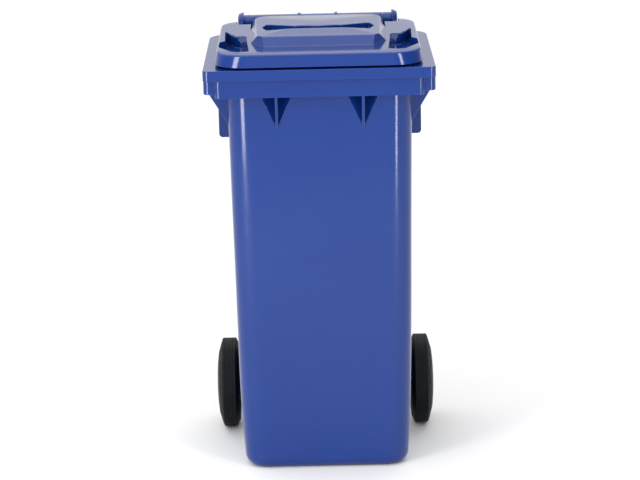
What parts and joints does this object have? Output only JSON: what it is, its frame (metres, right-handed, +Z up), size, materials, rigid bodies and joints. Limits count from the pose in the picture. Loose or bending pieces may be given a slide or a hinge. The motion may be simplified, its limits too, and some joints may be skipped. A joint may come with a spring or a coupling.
{
  "type": "wheelie bin",
  "caption": "Two-wheeled plastic refuse bin with a tapered tub, a lifting rim, a rear handle and a hinged lid with a raised middle.",
  "frame": {"origin": "on the floor, below the middle of the bin's bounding box", "axes": "+Z up, +X to the right seen from the front, -Y out of the front; the wheels and handle are at +Y"},
  "size_m": [0.486, 0.552, 0.938],
  "materials": {
    "body_plastic": "glossy injection-moulded HDPE",
    "lid_plastic": "glossy injection-moulded HDPE",
    "pin_plastic": "glossy injection-moulded HDPE",
    "axle_steel": "zinc-plated steel bar",
    "lock_steel": "zinc-plated steel",
    "wheel_plastic": "black moulded polypropylene",
    "tyre_rubber": "solid black rubber",
    "buffer_rubber": "black rubber"
  },
  "bodies": {
    "bin_body": {"body": "body_plastic", "hinge_pin_left": "pin_plastic", "hinge_pin_right": "pin_plastic", "axle": "axle_steel", "axle_spacer_left": "wheel_plastic", "axle_spacer_right": "wheel_plastic", "lid_buffer_left": "buffer_rubber", "lid_buffer_right": "buffer_rubber"},
    "lid": {"lid": "lid_plastic"},
    "wheel_left": {"tyre_left": "tyre_rubber", "wheel_hub_left": "wheel_plastic", "hub_cap_left": "wheel_plastic", "lock_spring_left": "lock_steel"},
    "wheel_right": {"tyre_right": "tyre_rubber", "wheel_hub_right": "wheel_plastic", "hub_cap_right": "wheel_plastic", "lock_spring_right": "lock_steel"},
    "lock_left": {"lock_pin_left": "lock_steel"},
    "lock_right": {"lock_pin_right": "lock_steel"}
  },
  "joints": [
    {"name": "lid_hinge", "type": "hinge", "parent": "bin_body", "child": "lid", "pos_m": [0, 0.254, 0.899], "axis": [-1, 0, 0], "range_deg": [0, 270]},
    {"name": "wheel_left_spin", "type": "hinge", "parent": "bin_body", "child": "wheel_left", "pos_m": [-0.217, 0.116, 0.1], "axis": [1, 0, 0], "continuous": true},
    {"name": "lock_left_slide", "type": "slide", "parent": "wheel_left", "child": "lock_left", "axis": [0, 0, 1], "range_m": [0, 0.004], "stiffness_N_per_m": 400, "springref_m": -0.004, "deforming": ["lock_spring_left"]},
    {"name": "wheel_right_spin", "type": "hinge", "parent": "bin_body", "child": "wheel_right", "pos_m": [0.217, 0.116, 0.1], "axis": [1, 0, 0], "continuous": true},
    {"name": "lock_right_slide", "type": "slide", "parent": "wheel_right", "child": "lock_right", "axis": [0, 0, 1], "range_m": [0, 0.004], "stiffness_N_per_m": 400, "springref_m": -0.004, "deforming": ["lock_spring_right"]}
  ]
}
